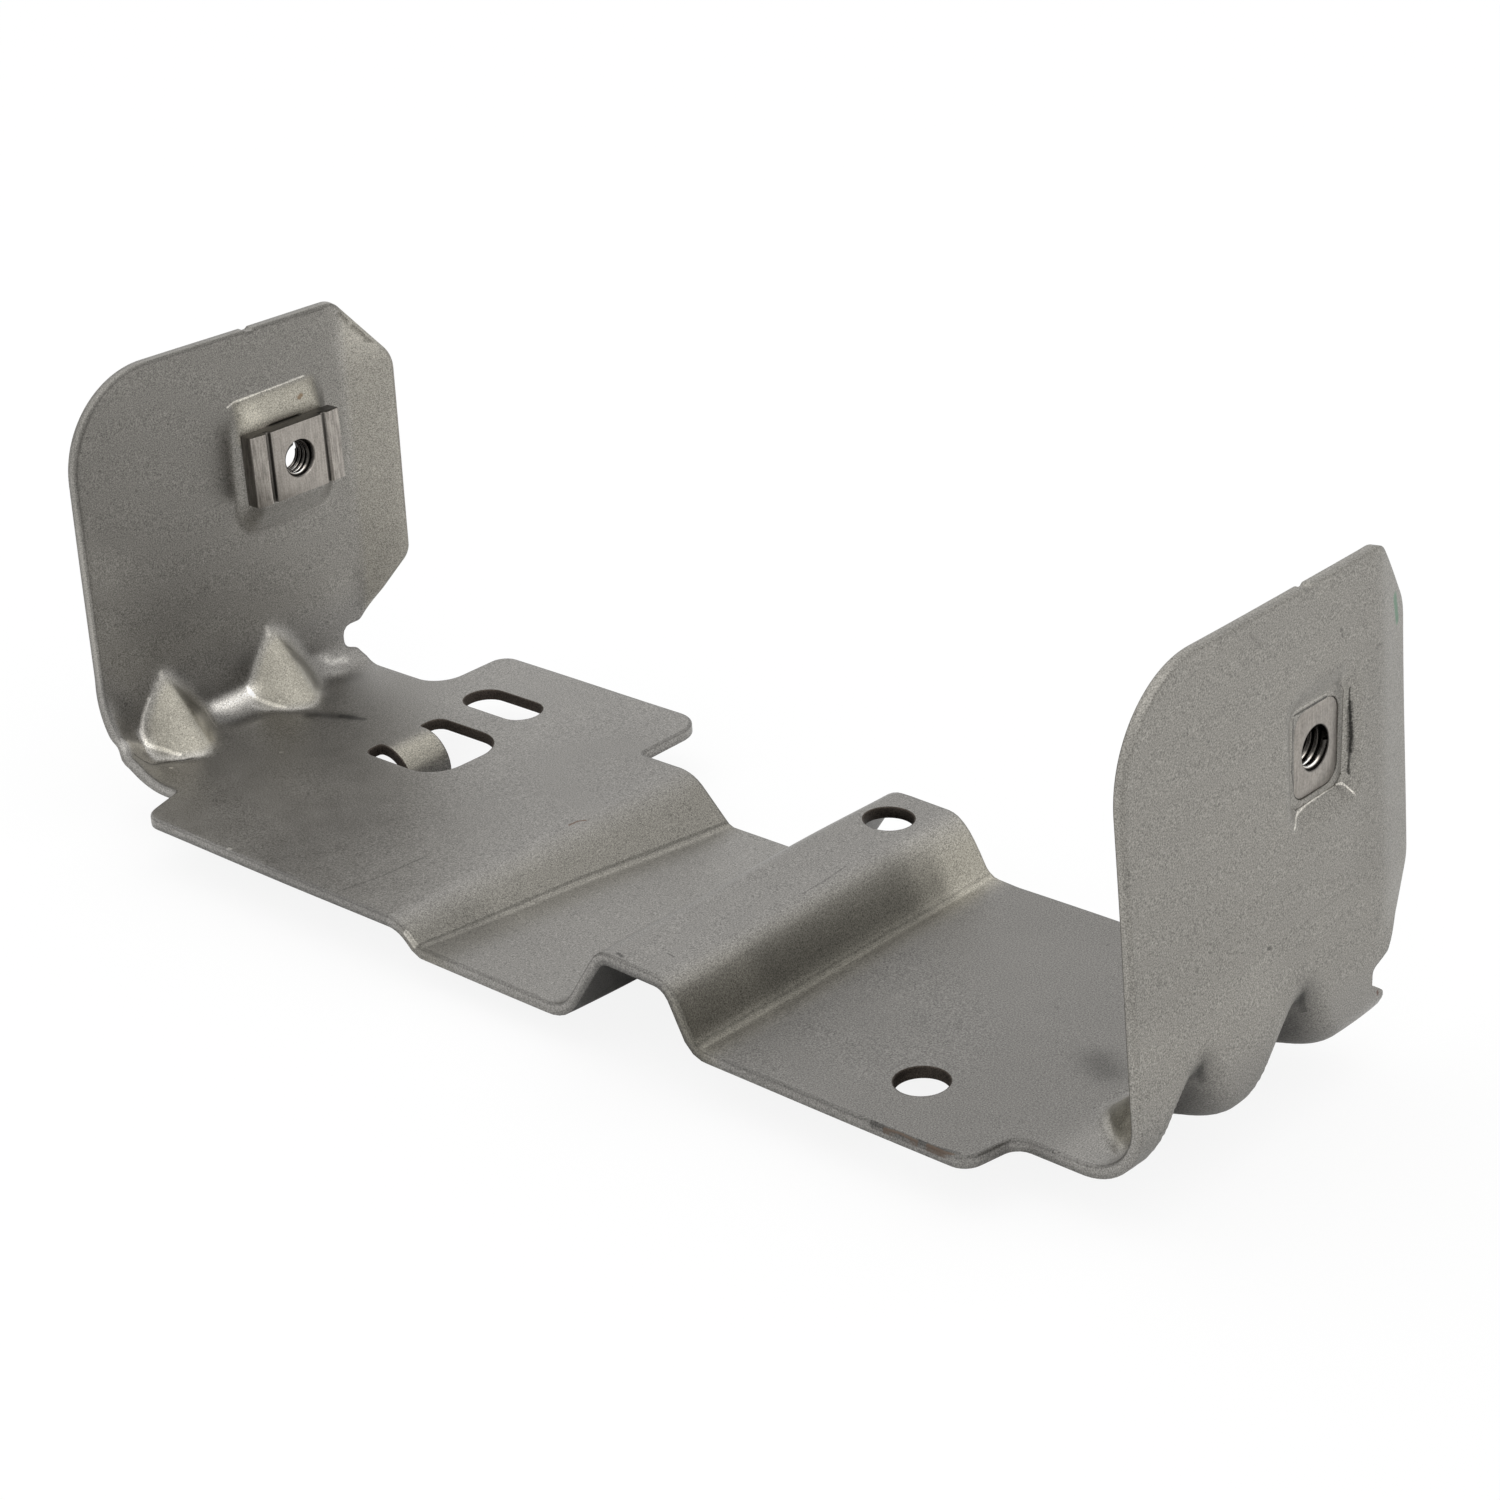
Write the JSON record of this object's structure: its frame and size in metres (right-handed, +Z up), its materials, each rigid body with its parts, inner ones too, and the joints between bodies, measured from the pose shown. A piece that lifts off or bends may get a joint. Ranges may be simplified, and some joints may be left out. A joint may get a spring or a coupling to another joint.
{
  "type": "stamped metal bracket",
  "caption": "Long folded sheet-steel bracket: a stepped floor with a raised cross ridge, a hanging tongue, and an upright ear at each end that holds a pressed-in threaded nut.",
  "frame": {"origin": "middle of the whole part in plan, at the height of its lowest point, the rear lower edge of the middle level", "axes": "+X runs from the left ear to the right ear, +Y from the front edge to the rear tab, +Z up along the ears, with the left and the right level of the floor horizontal"},
  "size_m": [0.2052, 0.0778, 0.0738],
  "materials": {
    "sheet_steel": "bare rolled steel, dull grey, fine grain",
    "nut_steel": "bare drawn steel, slightly browner than the sheet"
  },
  "bodies": {
    "root": {"bracket": "sheet_steel", "left_nut": "nut_steel", "right_nut": "nut_steel"}
  },
  "joints": []
}
